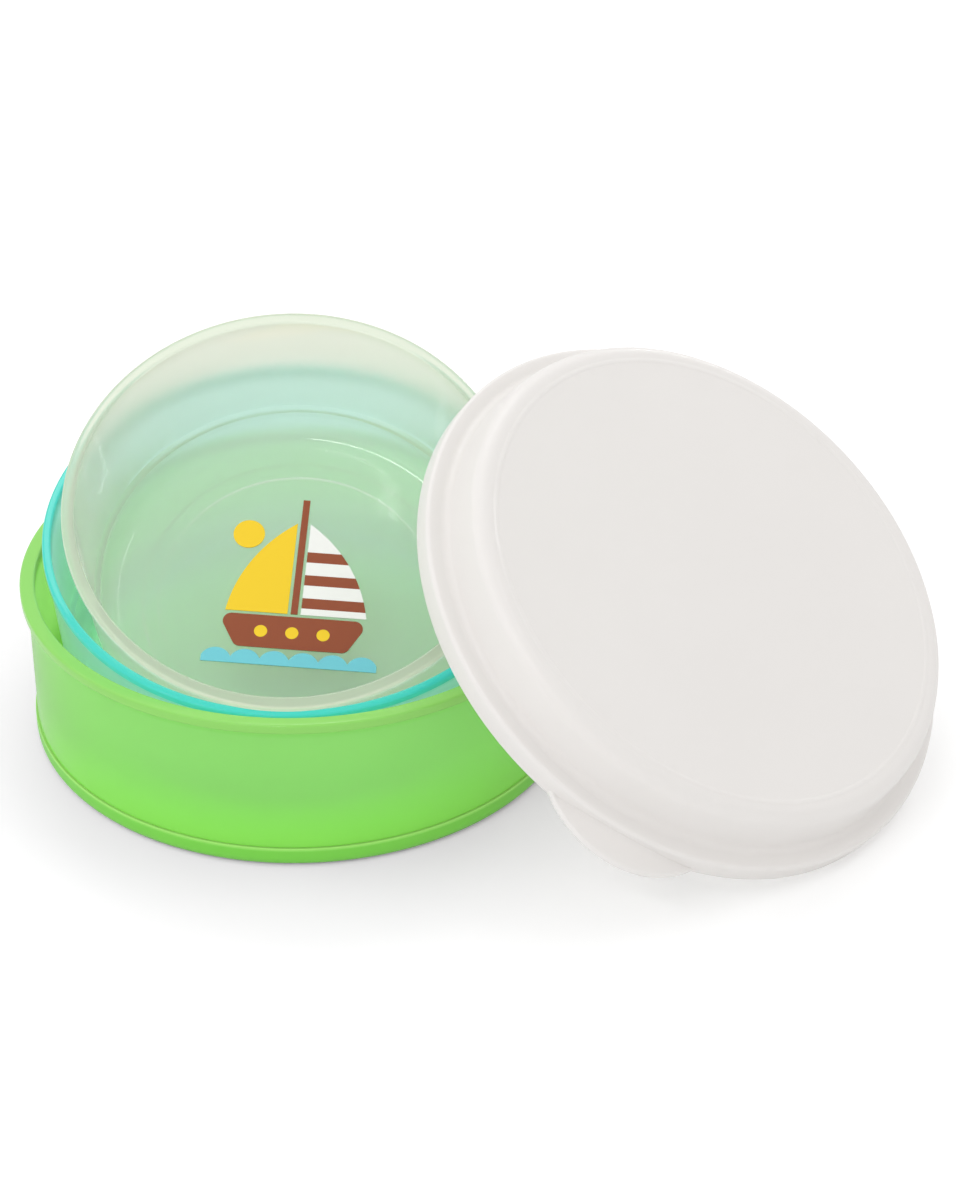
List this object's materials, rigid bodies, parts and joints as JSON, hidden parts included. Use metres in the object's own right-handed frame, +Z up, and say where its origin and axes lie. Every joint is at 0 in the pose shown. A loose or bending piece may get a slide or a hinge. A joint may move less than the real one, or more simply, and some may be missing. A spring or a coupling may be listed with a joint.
{
  "type": "baby bowl",
  "caption": "Nesting baby bowls fanned open in each other, with a non-slip base, a printed boat on the inner floor and a snap lid that leans on the rims.",
  "frame": {"origin": "centre of the non-slip base's underside, on the table", "axes": "+Z up; +X to the right, towards the lid; -Y to the front, where the two smaller bowls lean"},
  "size_m": [0.2615, 0.1894, 0.1108],
  "materials": {
    "green_bowl": "translucent, polished",
    "green_grip": "soft, satin",
    "aqua_bowl": "translucent, polished",
    "clear_bowl": "milky clear, polished",
    "white_ink": "printed ink",
    "brown_ink": "printed ink",
    "yellow_ink": "printed ink",
    "blue_ink": "printed ink",
    "white_lid": "soft, satin"
  },
  "bodies": {
    "outer": {"outer_bowl": "green_bowl", "non_slip_base": "green_grip"},
    "middle": {"middle_bowl": "aqua_bowl"},
    "inner": {"inner_bowl": "clear_bowl", "print_white": "white_ink", "print_brown": "brown_ink", "print_yellow": "yellow_ink", "print_blue": "blue_ink"},
    "cover": {"lid": "white_lid"}
  },
  "joints": [
    {"name": "middle_lift", "type": "slide", "parent": "outer", "child": "middle", "axis": [0.0159, -0.2278, 0.9736], "range_m": [0, 0.06]},
    {"name": "inner_lift", "type": "slide", "parent": "middle", "child": "inner", "axis": [0.0168, -0.4799, 0.8771], "range_m": [0, 0.06]},
    {"name": "lid_lift", "type": "slide", "parent": "inner", "child": "cover", "axis": [0.4744, -0.3588, 0.8039], "range_m": [0, 0.15]}
  ]
}
